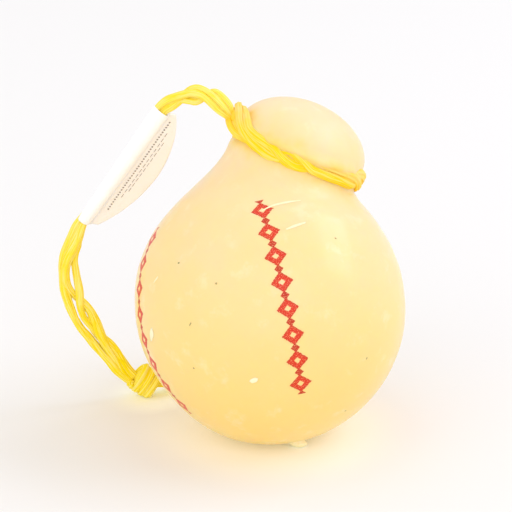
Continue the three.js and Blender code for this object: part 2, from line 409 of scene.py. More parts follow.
# Dipped wax over an aged rind: pale yellow curd that light goes into, under a clear glossy skin.
# The stamps are food ink under that skin, worn into pale specks.
def waxedRind():
    m = newMaterial("clear wax over aged rind")
    place = addNode(m, "TexCoord", output="Object")
    # soft clouds, over painted shade that deepens towards the foot and painted light at the head
    cloud = addNode(m, "TexNoise", None, {
        "Vector": place, "Scale": patternScale(rind["cloudSize"]), "Detail": 3.0, "Roughness": 0.55})
    height = addNode(m, "SeparateXYZ", None, {"Vector": place}, "Z")
    rise = addNode(m, "MapRange", softly, {"Value": height, "From Min": 0.0, "From Max": 0.18})
    # painted shade deepening low down and painted light at the head, by height
    shadedByHeight = addNode(m, "Mix", blended, {
        "Factor": rise, 6: hexColour(rind["foot"]), 7: hexColour(rind["head"])}, mixed)
    curd = addNode(m, "Mix", blended, {"Factor": cloud, 6: shadedByHeight, 7: hexColour(rind["cloud"])}, mixed)
    # pale bloom where air lies under the wax
    bloom = addNode(m, "TexNoise", None, {
        "Vector": place, "Scale": patternScale(rind["bloomSize"]), "Detail": 4.0, "Roughness": 0.6})
    bloom = addNode(m, "MapRange", softly, {
        "Value": bloom, "From Min": 0.54, "From Max": 0.78, "To Max": 0.34})
    curd = addNode(m, "Mix", blended, {"Factor": bloom, 6: curd, 7: hexColour(rind["bloom"])}, mixed)
    # oil and dye from the rope have yellowed the wax beside it, with painted golden shade along the rope
    tint = addNode(m, "Attribute", {"attribute_name": "ropeTintAndShade"}, None, "Fac")
    patches = addNode(m, "TexNoise", None, {
        "Vector": place, "Scale": patternScale(rind["oilAndShadeSize"]), "Detail": 2.0})
    patches = addNode(m, "MapRange", None, {
        "Value": patches, "From Min": 0.3, "From Max": 0.7, "To Min": 0.35, "To Max": 1.0})
    oiledAndShaded = addNode(m, "Math", clamped, {0: tint, 1: patches})
    curd = addNode(m, "Mix", blended, {"Factor": oiledAndShaded, 6: curd, 7: hexColour(rind["oilAndShade"])}, mixed)

    # the stamps' own millimetres: across the column and along it
    stampUv = addNode(m, "UVMap", {"uv_map": "stamps"})
    side = addNode(m, "SeparateXYZ", None, {"Vector": stampUv}, "X")
    reach = addNode(m, "SeparateXYZ", None, {"Vector": stampUv}, "Y")
    ragged = addNode(m, "TexNoise", None, {
        "Vector": stampUv, "Scale": 1 / rind["raggedSize"], "Detail": 2.0})
    ragged = addNode(m, "MapRange", None, {"Value": ragged, "To Min": -0.13, "To Max": 0.13})
    across = addNode(m, "Math", absolute, {0: side})
    along = addNode(m, "Math", subtract, {0: reach, 1: stamps["from"]})
    started = addNode(m, "Math", {"operation": "GREATER_THAN"}, {0: reach, 1: stamps["from"]})
    ended = addNode(m, "Math", {"operation": "LESS_THAN"}, {0: reach, 1: stamps["to"]})
    inside = addNode(m, "Math", multiply, {0: started, 1: ended})

    # Distance from the middle of the nearest diamond in a column of them: 1 on its edge.
    def diamond(shift, halfWidth, halfLength):
        moved = addNode(m, "Math", add, {0: along, 1: shift})
        cells = addNode(m, "Math", {"operation": "DIVIDE"}, {0: moved, 1: stamps["pitch"]})
        part = addNode(m, "Math", {"operation": "FRACT"}, {0: cells})
        off = addNode(m, "Math", subtract, {0: part, 1: 0.5})
        off = addNode(m, "Math", absolute, {0: off})
        endwise = addNode(m, "Math", multiply, {0: off, 1: stamps["pitch"] / halfLength})
        sideways = addNode(m, "Math", multiply, {0: across, 1: 1 / halfWidth})
        total = addNode(m, "Math", add, {0: endwise, 1: sideways})
        return addNode(m, "Math", add, {0: total, 1: ragged})

    large = diamond(0.0, stamps["width"], stamps["length"])
    small = diamond(stamps["pitch"] / 2, stamps["small"], stamps["small"])
    hollow = 1 - 1.8 * stamps["stroke"]
    inner = addNode(m, "MapRange", softly, {
        "Value": large, "From Min": hollow - 0.05, "From Max": hollow + 0.03})
    outer = addNode(m, "MapRange", softly, {"Value": large, "From Min": 1.04, "From Max": 0.97})
    ring = addNode(m, "Math", multiply, {0: inner, 1: outer})
    dot = addNode(m, "MapRange", softly, {"Value": small, "From Min": 1.08, "From Max": 0.94})
    printed = addNode(m, "Math", {"operation": "MAXIMUM"}, {0: ring, 1: dot})
    printed = addNode(m, "Math", multiply, {0: printed, 1: inside})
    # ink gathers dark at the edges of a stamp and wears off in specks
    edge = addNode(m, "MapRange", softly, {"Value": large, "From Min": 0.8, "From Max": 0.98})
    ink = addNode(m, "Mix", blended, {
        "Factor": edge, 6: hexColour(rind["ink"]), 7: hexColour(rind["inkEdge"])}, mixed)
    worn = addNode(m, "TexNoise", None, {
        "Vector": stampUv, "Scale": 1 / rind["wornSize"], "Detail": 1.0})
    worn = addNode(m, "MapRange", softly, {
        "Value": worn, "From Min": 0.68, "From Max": 0.60, "To Min": 0.25, "To Max": 0.95})
    printed = addNode(m, "Math", multiply, {0: printed, 1: worn})
    halo = addNode(m, "MapRange", softly, {
        "Value": large, "From Min": 1.45, "From Max": 0.9, "To Max": 0.1})
    halo = addNode(m, "Math", multiply, {0: halo, 1: inside})
    curd = addNode(m, "Mix", blended, {"Factor": halo, 6: curd, 7: hexColour(rind["inkHalo"])}, mixed)
    tone = addNode(m, "Mix", blended, {"Factor": printed, 6: curd, 7: ink}, mixed)

    grain = addNode(m, "TexNoise", None, {
        "Vector": place, "Scale": patternScale(rind["grainSize"]), "Detail": 2.0})
    bump = addNode(m, "Bump", None, {"Strength": 0.06, "Distance": 0.0004, "Height": grain}, "Normal")
    shine = addNode(m, "MapRange", softly, {
        "Value": height, "From Min": 0.13, "From Max": 0.16, "To Min": rind["shine"][0],
        "To Max": rind["shine"][1]})
    # the ink dries dull
    dull = addNode(m, "MapRange", None, {"Value": printed, "To Min": 1.0, "To Max": 0.1})
    shine = addNode(m, "Math", multiply, {0: shine, 1: dull})
    skin = addNode(m, "BsdfPrincipled", None, {
        "Base Color": tone, "Roughness": rind["roughness"], "IOR": 1.45, "Specular IOR Level": 0.2,
        "Subsurface Weight": rind["depth"], "Subsurface Radius": (1.0, 0.62, 0.25),
        "Subsurface Scale": rind["depthSize"] * mm, "Coat Weight": shine,
        "Coat Roughness": rind["gloss"], "Coat IOR": 1.46, "Normal": bump})
    addNode(m, "OutputMaterial", None, {"Surface": skin})
    return m


yarnLook = {
    # fibre streaks: the dark is partly painted shade between and on the fibres, the pale partly painted
    # light
    "dark": "#FBE200",      # between the fibres, and on them
    "light": "#FDED80",
    # painted golden shade in the pit that the braid leaves from
    "pitShade": "#FFC400",
    "wax": "#FFE79A",
    "lineWidth": 1.2,       # mm across a fibre line, drawn coarser than the real 0.1 so that it shows
    "lineLength": 14,       # mm
    "ribbonRadius": 2,      # mm, so that the lines' angle round a ribbon becomes a width
    "patchSize": 6,
    "gloss": 0.25,
}


# Flat spun polypropylene: soft ribbons with fine lines along them that are partly painted shade and light,
# golden where wax has soaked deep, painted golden shade in the pit, and pale where wax has soaked in.
def yarn():
    m = newMaterial("yellow polypropylene yarn")
    lay = addNode(m, "Attribute", {"attribute_name": "fibre"}, None, "Vector")
    place = addNode(m, "TexCoord", output="Object")
    deep = addNode(m, "Attribute", {"attribute_name": "deep"}, None, "Fac")
    wax = addNode(m, "Attribute", {"attribute_name": "wax"}, None, "Fac")
    lines = addNode(m, "TexNoise", None, {
        "Vector": lay, "Scale": yarnLook["ribbonRadius"] / yarnLook["lineWidth"], "Detail": 2.0,
        "Roughness": 0.6})
    streaks = addNode(m, "MapRange", softly, {"Value": lines, "From Min": 0.42, "From Max": 0.64})
    patches = addNode(m, "TexNoise", None, {
        "Vector": place, "Scale": patternScale(yarnLook["patchSize"]), "Detail": 2.0})
    soaked = addNode(m, "MapRange", softly, {
        "Value": patches, "From Min": 0.35, "From Max": 0.6, "To Min": 0.45, "To Max": 1.0})
    soaked = addNode(m, "Math", clamped, {0: wax, 1: soaked})
    # fibre streaks, partly painted shade and painted light
    tone = addNode(m, "Mix", blended, {
        "Factor": streaks, 6: hexColour(yarnLook["dark"]), 7: hexColour(yarnLook["light"])}, mixed)
    tone = addNode(m, "Mix", blended, {"Factor": soaked, 6: tone, 7: hexColour(yarnLook["wax"])}, mixed)
    # painted golden shade in the pit, mixed with the golden tone of soaked rope
    tone = addNode(m, "Mix", blended, {"Factor": deep, 6: tone, 7: hexColour(yarnLook["pitShade"])}, mixed)
    bump = addNode(m, "Bump", None, {"Strength": 0.3, "Distance": 0.0003, "Height": lines}, "Normal")
    fibre = addNode(m, "BsdfPrincipled", None, {
        "Base Color": tone, "Roughness": 0.6, "IOR": 1.49, "Specular IOR Level": 0.12,
        "Coat Weight": 0.06, "Coat Roughness": yarnLook["gloss"], "Normal": bump})
    addNode(m, "OutputMaterial", None, {"Surface": fibre})
    return m


# Uncoated white label paper: matt, with cloudy pulp in it, and thin enough for light to come through;
# a faint glow of its own colour adds painted light that keeps its shaded side pale.
def labelPaper():
    m = newMaterial("uncoated label paper")
    place = addNode(m, "TexCoord", output="Object")
    pulp = addNode(m, "TexNoise", None, {
        "Vector": place, "Scale": patternScale(1.2), "Detail": 3.0})
    tone = addNode(m, "Mix", blended, {
        "Factor": pulp, 6: hexColour("#F6F3F0"), 7: hexColour("#FCFAF8")}, mixed)
    tooth = addNode(m, "Bump", None, {"Strength": 0.05, "Distance": 0.0002, "Height": pulp}, "Normal")
    # a faint glow in the paper's own colour is painted light
    sheet = addNode(m, "BsdfPrincipled", None, {
        "Base Color": tone, "Roughness": 0.8, "IOR": 1.5, "Normal": tooth,
        "Subsurface Weight": 0.7, "Subsurface Radius": (1.0, 0.97, 0.92),
        "Subsurface Scale": 0.3 * mm, "Emission Color": tone, "Emission Strength": 0.09})
    addNode(m, "OutputMaterial", None, {"Surface": sheet})
    return m


# Thin printing ink that lets some paper through.
def labelInk():
    m = newMaterial("thin black label ink")
    place = addNode(m, "TexCoord", output="Object")
    cover = addNode(m, "TexNoise", None, {
        "Vector": place, "Scale": patternScale(0.5), "Detail": 1.0})
    tone = addNode(m, "Mix", blended, {
        "Factor": cover, 6: hexColour("#6E6863"), 7: hexColour("#B9B2AB")}, mixed)
    ink = addNode(m, "BsdfPrincipled", None, {"Base Color": tone, "Roughness": 0.6})
    addNode(m, "OutputMaterial", None, {"Surface": ink})
    return m


# Air and loose crumbs of wax caught in the dip: cloudy, nearly white.
def cloudyWax():
    m = newMaterial("cloudy wax crumbs")
    place = addNode(m, "TexCoord", output="Object")
    cloud = addNode(m, "TexNoise", None, {
        "Vector": place, "Scale": patternScale(1.5), "Detail": 2.0})
    tone = addNode(m, "Mix", blended, {
        "Factor": cloud, 6: hexColour("#FFEFAE"), 7: hexColour("#FFF8D8")}, mixed)
    wax = addNode(m, "BsdfPrincipled", None, {
        "Base Color": tone, "Roughness": 0.35, "IOR": 1.45, "Coat Weight": 0.6, "Coat Roughness": 0.15})
    addNode(m, "OutputMaterial", None, {"Surface": wax})
    return m


# Dry rind showing through pinholes in the wax: small brown-green specks.
def pinholeRind():
    m = newMaterial("dry rind in pinholes")
    place = addNode(m, "TexCoord", output="Object")
    mottle = addNode(m, "TexNoise", None, {
        "Vector": place, "Scale": patternScale(0.4), "Detail": 1.0})
    tone = addNode(m, "Mix", blended, {
        "Factor": mottle, 6: hexColour("#9A8450"), 7: hexColour("#C9B271")}, mixed)
    crust = addNode(m, "BsdfPrincipled", None, {"Base Color": tone, "Roughness": 0.7})
    addNode(m, "OutputMaterial", None, {"Surface": crust})
    return m


rindMaterial = waxedRind()
yarnMaterial = yarn()
paperMaterial = labelPaper()
inkMaterial = labelInk()
crumbMaterial = cloudyWax()
speckMaterial = pinholeRind()
print("materials ready")

# Cords: each strand is a bundle of flat ribbons round a core.

ropePit = neckPoint(-163.5, -0.5, 41)    # the deep place that the braid leaves from
cordLook = {
    "pitShadeSize": 4.4,       # mm
    "coreShare": 0.8,     # the core's share of a strand's width
    "sides": 8,
    # one unit of the fibre pattern in mm of cord
    "fibreLength": yarnLook["lineLength"] * yarnLook["ribbonRadius"] / yarnLook["lineWidth"],
}


def curveLength(curve, pieces=400):
    points = [curve(i / pieces) for i in range(pieces + 1)]
    return sum((b - a).length for a, b in zip(points, points[1:]))


# Draws a ball out into a ribbon: each of its rows goes to a station of
# (centre, across, out, half width, half thickness, travelled).
def layRibbon(bm, stations, sides, shift):
    fibre = bm.verts.layers.float_vector["fibre"]
    last = len(stations) - 1
    ball = bmesh.ops.create_uvsphere(bm, u_segments=sides, v_segments=last, radius=1)
    for vert in ball["verts"]:
        row = round(math.acos(max(-1, min(1, -vert.co.z))) / math.pi * last)
        centre, across, out, wide, thick, travelled = stations[row]
        angle = math.atan2(vert.co.y, vert.co.x)
        size = 0 if row in (0, last) else 1
        vert[fibre] = (math.cos(angle), math.sin(angle), travelled / cordLook["fibreLength"] + shift)
        vert.co = centre + size * (across * (wide * math.cos(angle)) + out * (thick * math.sin(angle)))


# Lays ribbons side by side round the strand's middle, with a slow twist and a little wander.
def layStrand(bm, stations, ribbons, seed, twist=0.02):
    share = cordLook["coreShare"]
    core = [(c, a, o, wide * share, thick * share, at) for c, a, o, wide, thick, at in stations]
    layRibbon(bm, core, cordLook["sides"] + 4, 31.0 * seed)
    ring = 0.42 + 0.03 * ribbons      # the more ribbons, the smaller and the further out they lie
    size = 1.04 - ring
    for j in range(ribbons):
        ribbon = []
        for centre, across, out, wide, thick, travelled in stations:
            wander = 0.5 * noise.noise(Vector((seed * 7.3, j * 3.1, travelled / 16)))
            angle = 2 * math.pi * (j + 0.3 * seed) / ribbons + travelled * twist + wander
            middle = centre + across * (wide * ring * math.cos(angle))
            middle += out * (thick * ring * math.sin(angle))
            swell = 1 + 0.2 * noise.noise(Vector((seed * 2.1, j * 5.7, travelled / 9)))
            ribbon.append((middle, across, out, wide * size * swell, thick * size * swell, travelled))
        layRibbon(bm, ribbon, cordLook["sides"], 7.0 * j + 31.0 * seed)


# Stations along a strand through rows of (x, y, z, half width, half thickness); facing gives the
# direction that its flat side looks in at a point.
def strandStations(rows, facing, step):
    route = smoothRoute(rows)

    def place(t):
        return Vector(route(t)[:3])

    length = curveLength(place, 200)
    count = round(length / step)
    stations = []
    for i in range(count + 1):
        t = i / count
        along = (place(t + 1 / count) - place(t - 1 / count)).normalized()
        out = facing(place(t))
        out = (out - along * out.dot(along)).normalized()
        wide, thick = route(t)[3:5]
        stations.append((place(t), out.cross(along), out, wide, thick, t * length))
    return stations


def newCordMesh():
    bm = bmesh.new()
    bm.verts.layers.float_vector.new("fibre")
    return bm


# Golden where it has soaked, and painted golden shade towards the pit that the braid leaves from;
# waxRule says how much wax a place has.
def closeCordMesh(bm, waxRule, soaked=0.0):
    deep = bm.verts.layers.float.new("deep")
    wax = bm.verts.layers.float.new("wax")
    for vert in bm.verts:
        pitShade = math.exp(-((vert.co - ropePit).length / cordLook["pitShadeSize"]) ** 2)
        vert[deep] = max(soaked, pitShade)
        vert[wax] = waxRule(vert.co)
    bmesh.ops.recalc_face_normals(bm, faces=bm.faces)
    return bm


# The free end of the cord: a loose three-strand braid along the route of the CAD model.
braid = {
    "route": [
        (-19.7, 18.5, 170.5), (-22.0, 19.7, 173.7), (-25.7, 20.9, 177.0), (-30.7, 22.1, 180.0),
        (-36.8, 23.4, 181.5), (-43.2, 24.6, 180.9), (-49.7, 25.8, 178.1), (-57.5, 27.0, 171.7),
        (-68.5, 28.5, 155.4), (-79.7, 30.0, 139.0), (-91.0, 31.5, 122.5), (-102.4, 33.0, 105.8),
        (-107.1, 33.8, 96.2), (-109.8, 34.5, 86.6), (-110.4, 35.3, 77.0), (-109.7, 36.1, 67.2),
        (-107.6, 36.9, 58.6), (-103.9, 37.6, 49.4), (-98.7, 38.4, 40.3), (-92.5, 39.2, 31.9),
        (-86.0, 40.0, 23.6), (-80.0, 40.7, 16.0), (-74.5, 41.5, 10.1),
    ],
    "step": 1.3,
    "ribbons": 5,
    "flatness": 0.78,                   # a strand's thickness to its width
    "front": Vector((0.1, -1, 0.15)),   # the flat side of the braid faces this way
    # degrees round the neck, height and radius where each strand comes out of the knot
    "roots": [(-172, -1.5, 40.2), (-165, -0.5, 39.4), (-170, -2.5, 38.6)],
    # wax by height in mm
    "wax": [(30, 0.0), (80, 0.2), (175, 0.22)],
    # each strand: distance from the neck, then mm towards the inner side and the front, half width
    "strands": [
        [(0, 1.1, 0.0, 1.7), (3, 2.5, 0.3, 1.8), (8, 3.5, 0.5, 2.0), (12, 3.1, 0.8, 2.1),
         (17, 1.6, 1.2, 2.2), (21, 0.1, 1.5, 2.2), (26, -1.0, 1.5, 2.2), (30, -1.0, 1.2, 2.3),
         (34, -1.3, 0.8, 2.4), (39, -2.1, 0.5, 2.4), (45, -2.3, 0.3, 2.1), (54, -2.2, 0.0, 1.9),
         (103, -1.6, 0.0, 1.4), (121, -1.7, 0.0, 1.8), (127, -1.8, 0.6, 2.5), (134, -1.6, 0.4, 2.5),
         (140, -2.1, 0.0, 2.5), (146, -2.9, -0.2, 2.4), (152, -3.6, -0.8, 2.1),
         (157, -3.7, -1.4, 2.0), (162, -3.9, -0.6, 2.1), (167, -3.9, 0.2, 2.5),
         (172, -3.5, 0.5, 2.5), (177, -3.6, 0.6, 2.5), (183, -3.9, 0.6, 2.2), (190, -4.0, 0.1, 2.2),
         (196, -3.6, 0.0, 2.3), (202, -3.8, 0.0, 2.5), (208, -3.9, 0.1, 2.5), (215, -3.7, 0.0, 2.6),
         (222, -4.0, 0.0, 2.8), (228, -3.6, 0.0, 2.6), (233, -3.0, 0.0, 2.4)],
        [(0, 0.1, 0.6, 1.4), (4, 0.3, 0.9, 1.7), (9, -0.3, 1.0, 1.8), (14, -1.2, 0.8, 1.9),
         (19, -2.5, 0.5, 1.9), (23, -3.5, 0.0, 1.9), (26.5, -2.8, -0.8, 1.9), (30, -0.7, -1.6, 2.0),
         (34, 1.4, -0.8, 2.2), (39, 2.0, 0.0, 2.3), (45, 1.3, 0.3, 2.1), (55, 1.8, 0.0, 1.9),
         (104, -0.2, 0.0, 1.4), (121, 0.2, 0.0, 1.8), (126, 0.7, 0.8, 2.4), (132, 1.8, 0.9, 2.4),
         (138, 2.0, 1.1, 2.5), (144, 0.8, 1.4, 2.5), (149, -0.9, 1.5, 2.5), (155, -2.1, 1.5, 2.5),
         (160, -2.2, 1.2, 2.4), (165, -1.3, 0.4, 2.2), (170, 0.4, -0.8, 2.1), (174, 2.2, -1.4, 2.2),
         (178, 4.1, -0.8, 2.4), (183, 5.4, 0.0, 2.4), (188, 5.2, 0.4, 2.6), (194, 4.1, 0.8, 2.9),
         (199, 2.7, 1.2, 2.9), (204, 1.3, 1.0, 2.6), (209, 0.3, 0.6, 2.4), (214, -0.3, 0.3, 2.3),
         (219, -0.7, 0.2, 2.4), (224, -1.2, 0.0, 2.6), (229, -1.5, 0.0, 2.5),
         (233, -1.3, 0.0, 2.3)],
        [(0, -0.4, 0.1, 1.4), (2, -1.0, 0.2, 1.5), (5, -2.3, 0.4, 1.7), (8, -3.0, 0.4, 1.8),
         (12, -3.7, 0.2, 1.8), (15, -3.7, -0.4, 1.8), (17.5, -1.4, -1.5, 1.8), (20, 1.8, -1.1, 1.9),
         (24, 3.9, -0.3, 2.1), (28, 3.2, -0.4, 2.0), (33, 1.5, -1.3, 2.3), (38, 0.5, -1.8, 2.3),
         (45, -0.2, -1.9, 1.6), (55, -0.6, -0.9, 1.4), (104, -0.9, -0.9, 1.4),
         (121, -0.6, -0.9, 1.6), (128, -0.2, -1.0, 2.1), (133, 1.6, -1.0, 2.2),
         (139, 2.7, -0.8, 2.4), (144, 2.7, -0.4, 2.2), (149, 3.0, -0.2, 2.1), (154, 3.8, 0.0, 2.1),
         (160, 4.3, 0.2, 2.2), (166, 4.3, 0.6, 2.4), (171, 3.6, 1.2, 2.4), (176, 2.1, 1.3, 2.2),
         (180, 1.1, 0.9, 2.0), (185, 0.5, 0.5, 2.0), (189, 0.9, 0.2, 2.1), (193, 1.3, -0.3, 2.1),
         (198, 1.3, -1.2, 2.4), (203, 1.7, -1.5, 2.7), (208, 2.6, -0.8, 2.8), (213, 2.7, -0.2, 2.6),
         (218, 1.8, 0.0, 2.6), (223, 1.0, 0.0, 2.6), (228, 0.5, 0.0, 2.6), (233, 0.3, 0.0, 2.4)],
    ],
}
braidCurve = smoothRoute(braid["route"])
braidLength = curveLength(braidCurve)


# Middle, inner side and front of the braid at a distance from the neck.
def braidFrame(distance):
    t = distance / braidLength
    middle = braidCurve(t)
    along = (braidCurve(t + 0.004) - braidCurve(t - 0.004)).normalized()
    out = (braid["front"] - along * braid["front"].dot(along)).normalized()
    return middle, out.cross(along), out


def makeBraid():
    bm = newCordMesh()
    for number, strand in enumerate(braid["strands"]):
        rows = [(*neckPoint(*braid["roots"][number]), 1.3, 1.0)]
        for distance, inner, forward, half in strand:
            middle, across, out = braidFrame(distance)
            point = middle + across * inner + out * forward
            rows.append((*point, half, half * braid["flatness"]))
        stations = strandStations(rows, lambda point: braid["front"], braid["step"])
        layStrand(bm, stations, braid["ribbons"], number + 1)
    bm = closeCordMesh(bm, lambda point: between(braid["wax"], point.z)[0])
    return finishPiece("braidedEnd", bm, yarnMaterial)


braidPiece = makeBraid()
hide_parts("braid")
print("braid ready")

# The rope round the neck: three strands, half sunk in wax. Two of them start over the root of the
# braid, and the strands change places once in front, quickly, and once at the right.
neckRope = {
    # degrees round the neck, the rope's middle height and radius, and how far its strands rise
    "track": [(-195, -6.2, 34.6, 2.8), (-141, -5.9, 34.6, 2.6), (-110, -6.6, 34.4, 2.9),
              (-98, -6.2, 34.5, 3.7), (-82, -5.6, 34.5, 3.3), (-67, -4.9, 34.5, 2.9),
              (-48, -4.4, 34.9, 2.8), (-28, -4.1, 35.7, 3.1), (-8, -4.3, 36.0, 3.4),
              (20, -5.4, 35.2, 3.1), (60, -6.6, 34.4, 3.1), (168, -6.2, 34.4, 3.1)],
    # degrees round the neck, and how far the strands have turned about the rope's middle there
    "turns": [(-195, 236), (-141, 200), (-110, 160), (-104, 105), (-95, 72), (-88, 38), (-80, -8),
              (-75, -42), (-67, -58), (-40, -72), (-28, -100), (-15, -160), (0, -230), (15, -285),
              (40, -320), (90, -420), (140, -500), (168, -560)],
    "sway": 0.9,
    "halfWidth": 3.1,
    "squeeze": 0.4,            # narrower where a strand crosses over
    "halfThickness": 2.2,
    "ribbons": 7,
    "step": 1.2,
    "spacing": 6,              # degrees from one row to the next
    # strand starts: degrees, height, radius, half width and half thickness
    "starts": [
        (0, -195, []),
        (1, -118, [(168, -1, 35.5, 1.6, 1.5), (178, 4, 37.5, 2.0, 1.8), (189, 6.8, 39.4, 2.4, 2.0),
                   (198, 6.0, 40.3, 2.4, 2.0), (204, 4.0, 40.4, 2.4, 2.0), (207, 1.6, 40.0, 2.3, 2.0),
                   (211, -0.9, 39.4, 2.3, 2.0), (216, -3.4, 38.6, 2.5, 2.0),
                   (223, -5.6, 37.6, 2.7, 2.0), (231, -7.2, 36.6, 2.9, 2.1)]),
        (2, -118, [(176, 2, 35.2, 1.6, 1.5), (188, 5.6, 36.8, 1.9, 1.7), (200, 6.4, 37.6, 2.1, 1.8),
                   (209, 4.6, 37.9, 2.1, 1.8), (215, 1.6, 37.8, 2.1, 1.8), (220, -1.2, 37.4, 2.2, 1.9),
                   (227, -2.8, 36.8, 2.6, 2.0), (235, -3.6, 36.2, 2.8, 2.1)]),
    ],
    # heights from which the wax covers the rope, and where it is full, by degrees round the neck
    "wax": [(-180, -3.0, 6.0), (-120, -3.6, 3.0), (-100, -4.0, 1.0), (-85, -5.6, -1.5),
            (-60, -6.0, -2.5), (-25, -7.5, -3.0), (20, -9.0, -3.0), (90, -9.0, -3.0), (180, -6.0, 2.0)],
    "waxAnywhere": 0.03,
    "soaked": 0.32,
}
neckMiddle = aroundNeck(0, 0, -8)


# How much wax covers a place on the rope.
def neckWax(point):
    height, _ = neckPlace(point)
    bare, full = between(neckRope["wax"], neckDegrees(point))
    share = min(max((height - bare) / (full - bare), 0), 1)
    return neckRope["waxAnywhere"] + (1 - neckRope["waxAnywhere"]) * share


# The row of a strand at an angle round the neck.
def neckRow(number, degrees):
    height, radius, rise = between(neckRope["track"], degrees)
    (turned,) = between(neckRope["turns"], degrees)
    turn = math.radians(turned + 120 * number)
    wide = neckRope["halfWidth"] - neckRope["squeeze"] * max(0, math.cos(turn))
    return (degrees, height + rise * math.sin(turn), radius + neckRope["sway"] * math.cos(turn), wide,
            neckRope["halfThickness"])


def neckStations(rows):
    rows = [(*neckPoint(*row[:3]), *row[3:]) for row in rows]
    return strandStations(rows, lambda point: point - neckMiddle, neckRope["step"])


def makeNeckRope():
    bm = newCordMesh()
    for number, first, start in neckRope["starts"]:
        rows = start + [neckRow(number, degrees) for degrees in range(first, 169, neckRope["spacing"])]
        layStrand(bm, neckStations(rows), neckRope["ribbons"], number + 4)
    return finishPiece("neckRope", closeCordMesh(bm, neckWax, neckRope["soaked"]), yarnMaterial)


# Round the root of the braid: a bundle down the outer side, one between it and the rope's own
# strands, and a heart that fills it.
neckKnot = {
    # degrees, height, radius, half width and half thickness
    "bundles": [
        [(163, 0.0, 34.8, 1.6, 1.4), (170, 1.8, 37.8, 1.9, 1.6), (178, 3.0, 40.4, 2.1, 1.8),
         (187, 1.4, 41.8, 2.3, 1.9), (195.5, -1.6, 42.0, 2.4, 1.9), (201, -4.0, 41.2, 2.4, 1.9),
         (205.5, -5.6, 39.9, 2.4, 1.9), (210, -6.6, 38.0, 2.3, 1.8), (215, -7.0, 35.8, 2.2, 1.7),
         (221, -7.0, 33.8, 2.0, 1.6), (228, -7.0, 32.4, 1.8, 1.5)],
        [(172, 3.0, 34.6, 1.6, 1.4), (181, 4.6, 37.4, 1.9, 1.6), (189, 3.2, 39.2, 2.2, 1.8),
         (196, 0.9, 40.0, 2.4, 1.9), (202, -1.6, 39.5, 2.4, 1.9), (208, -3.9, 38.4, 2.4, 1.9),
         (214, -5.6, 36.9, 2.2, 1.8), (222, -6.6, 35.0, 2.0, 1.6)],
    ],
    "ribbons": 5,
    "twist": 0.04,
    "heart": (-164, -1.6, 38.0),
    "heartSize": Vector((4.0, 4.8, 7.2)),
    "wax": 0.2,
}


def makeNeckKnot():
    bm = newCordMesh()
    for j, rows in enumerate(neckKnot["bundles"]):
        layStrand(bm, neckStations(rows), neckKnot["ribbons"], 9 + j, neckKnot["twist"])
    heart = bmesh.ops.create_uvsphere(bm, u_segments=24, v_segments=16, radius=1)["verts"]
    middle, size = neckPoint(*neckKnot["heart"]), neckKnot["heartSize"]
    for vert in heart:
        vert.co = middle + Vector(a * b for a, b in zip(vert.co, size))
    bm = closeCordMesh(bm, lambda point: neckKnot["wax"], neckRope["soaked"])
    return finishPiece("neckKnot", bm, yarnMaterial)


ropePiece = makeNeckRope()
knotPiece = makeNeckKnot()
for piece in (ropePiece, knotPiece):
    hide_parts("neck_cord")
print("neck rope ready")

# The knot at the end of the braid: fat turns round its own axis, and three loose ends.
endKnot = {
    "centre": Vector((-69.9, 41.5, 9.2)),
    "slope": math.radians(54),
    "turns": 3.3,
    "radius": 5.0,
    "stretch": 1.42,      # the turns are longer along the slope than from front to back
    "reach": 6.0,
    "halfWidth": 2.5,
    "halfThickness": 2.2,
    "steps": 90,
    "ribbons": 5,
    "tail": Vector((-50, 50, 2.2)),
}


def makeEndKnot():
    bm = newCordMesh()
    slope = endKnot["slope"]
    axis = Vector((math.sin(slope), 0, -math.cos(slope)))
    side = Vector((math.cos(slope), 0, math.sin(slope)))
    other = axis.cross(side)
    stations = []
    for i in range(endKnot["steps"] + 1):
        f = i / endKnot["steps"]
        angle = math.radians(120) + 2 * math.pi * endKnot["turns"] * f
        out = side * math.cos(angle) + other * math.sin(angle)
        radius = endKnot["radius"] * (0.93 + 0.07 * math.sin(math.pi * f))
        offset = side * endKnot["stretch"] * math.cos(angle) + other * math.sin(angle)
        middle = endKnot["centre"] + axis * endKnot["reach"] * (2 * f - 1) + offset * radius
        stations.append((middle, axis, out, endKnot["halfWidth"], endKnot["halfThickness"],
                         2 * math.pi * endKnot["radius"] * endKnot["turns"] * f))
    layStrand(bm, stations, endKnot["ribbons"], 13, 0.03)
    heart = bmesh.ops.create_uvsphere(bm, u_segments=24, v_segments=16, radius=1)["verts"]
    for vert in heart:
        x, y, z = vert.co * endKnot["radius"]
        vert.co = endKnot["centre"] + side * x * endKnot["stretch"] + other * y + axis * 1.3 * z
    for j, spread in enumerate((-4, 0.5, 4)):
        end = endKnot["tail"] + Vector((spread * 0.5, -spread, 0.2 * j))
        start = endKnot["centre"] + Vector((3, 2, -3.5))
        rows = [(*start, 2.0, 1.4), (*(start.lerp(end, 0.4) + Vector((0, 0, 0.8))), 2.0, 1.4),
                (*end, 1.9, 1.3)]
        layStrand(bm, strandStations(rows, lambda point: Vector((0, 0, 1)), 1.4), 5, 17 + j)
    for vert in bm.verts:
        vert.co.z = max(vert.co.z, 0)      # pressed flat on the floor
    return finishPiece("endKnot", closeCordMesh(bm, lambda point: 0.0), yarnMaterial)


endKnotPiece = makeEndKnot()
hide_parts("end_knot")
print("end knot ready")

